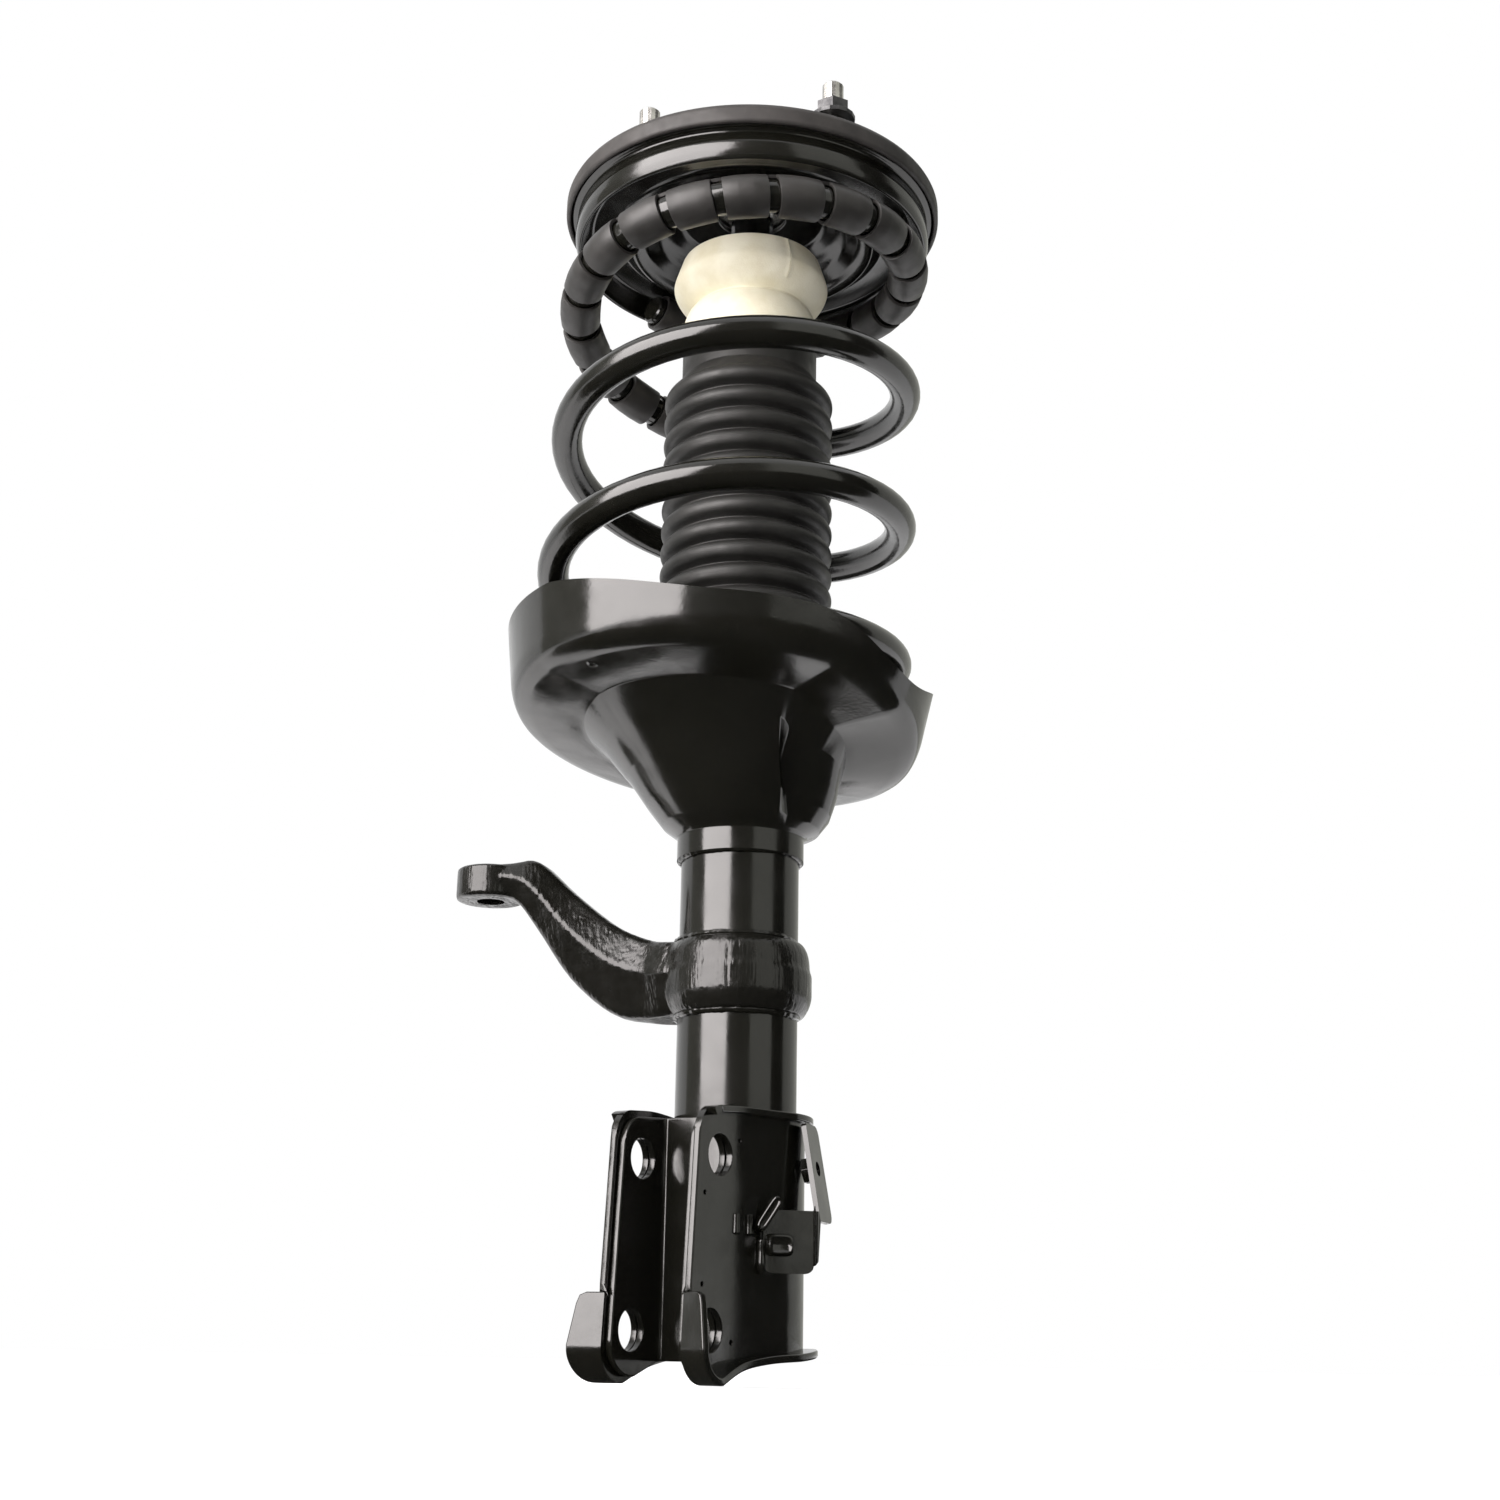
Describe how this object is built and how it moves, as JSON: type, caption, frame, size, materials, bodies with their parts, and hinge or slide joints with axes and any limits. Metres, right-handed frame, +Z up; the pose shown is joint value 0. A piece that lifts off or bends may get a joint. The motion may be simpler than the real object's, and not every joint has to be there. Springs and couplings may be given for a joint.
{
  "type": "suspension strut assembly",
  "caption": "Front suspension strut with a coil spring between a steering top mount and a damper that carries a spring seat, a steering arm and a two-bolt knuckle bracket.",
  "frame": {"origin": "centre of the top mount's seating plane, on the damper's axis", "axes": "+Z up along the damper's axis, -Y outboard, where the ears of the knuckle bracket point, +X to the side of the hose bracket"},
  "size_m": [0.2186, 0.2012, 0.584],
  "materials": {
    "gloss_black": "gloss black paint",
    "zinc": "bright zinc plate",
    "dark_steel": "dark phosphate",
    "rubber": "matte",
    "bright_steel": "ground",
    "chrome": "hard chrome, polished",
    "bronze": "sintered bronze",
    "filled_polymer": "matte",
    "foam_cream": "cellular foam, matte",
    "matte_black": "blow-moulded, matte",
    "wrap_plastic": "matte"
  },
  "bodies": {
    "mount": {"top_mount_plate": "gloss_black", "mount_stud_1": "zinc", "mount_stud_2": "zinc", "mount_stud_3": "zinc", "stud_nut_1": "dark_steel", "stud_nut_2": "dark_steel", "stud_nut_3": "dark_steel", "mount_bush": "rubber", "bush_sleeve": "bright_steel", "upper_washer": "zinc", "lower_washer": "zinc", "rod_nut": "zinc", "bearing_upper_race": "bright_steel", "piston_rod": "chrome", "rebound_shims": "bright_steel", "piston": "dark_steel", "piston_band": "filled_polymer", "compression_shims": "bright_steel", "piston_nut": "zinc", "rebound_stop": "filled_polymer", "bump_stop": "foam_cream"},
    "upper_seat": {"bearing_lower_race": "bright_steel", "bearing_balls": "bright_steel", "upper_spring_seat": "gloss_black", "seat_seal": "rubber", "coil_spring": "gloss_black", "spring_wrap": "wrap_plastic", "dust_boot": "matte_black"},
    "damper": {"outer_tube": "gloss_black", "tube_base": "gloss_black", "tube_cap": "zinc", "rod_seal": "rubber", "rod_guide": "dark_steel", "guide_bush": "bronze", "inner_cylinder": "bright_steel", "base_valve": "dark_steel", "lower_spring_seat": "gloss_black", "steering_arm": "gloss_black", "knuckle_bracket": "gloss_black", "bracket_channel": "gloss_black", "hose_bracket": "gloss_black", "weld_nut": "gloss_black"}
  },
  "joints": [
    {"name": "steer", "type": "hinge", "parent": "mount", "child": "upper_seat", "pos_m": [0, 0, 0], "axis": [0, 0, 1], "range_deg": [-38, 38]},
    {"name": "stroke", "type": "slide", "parent": "upper_seat", "child": "damper", "axis": [0, 0, 1], "range_m": [0, 0.104], "stiffness_N_per_m": 28000, "springref_m": -0.06, "deforming": ["coil_spring", "spring_wrap", "dust_boot"]}
  ]
}
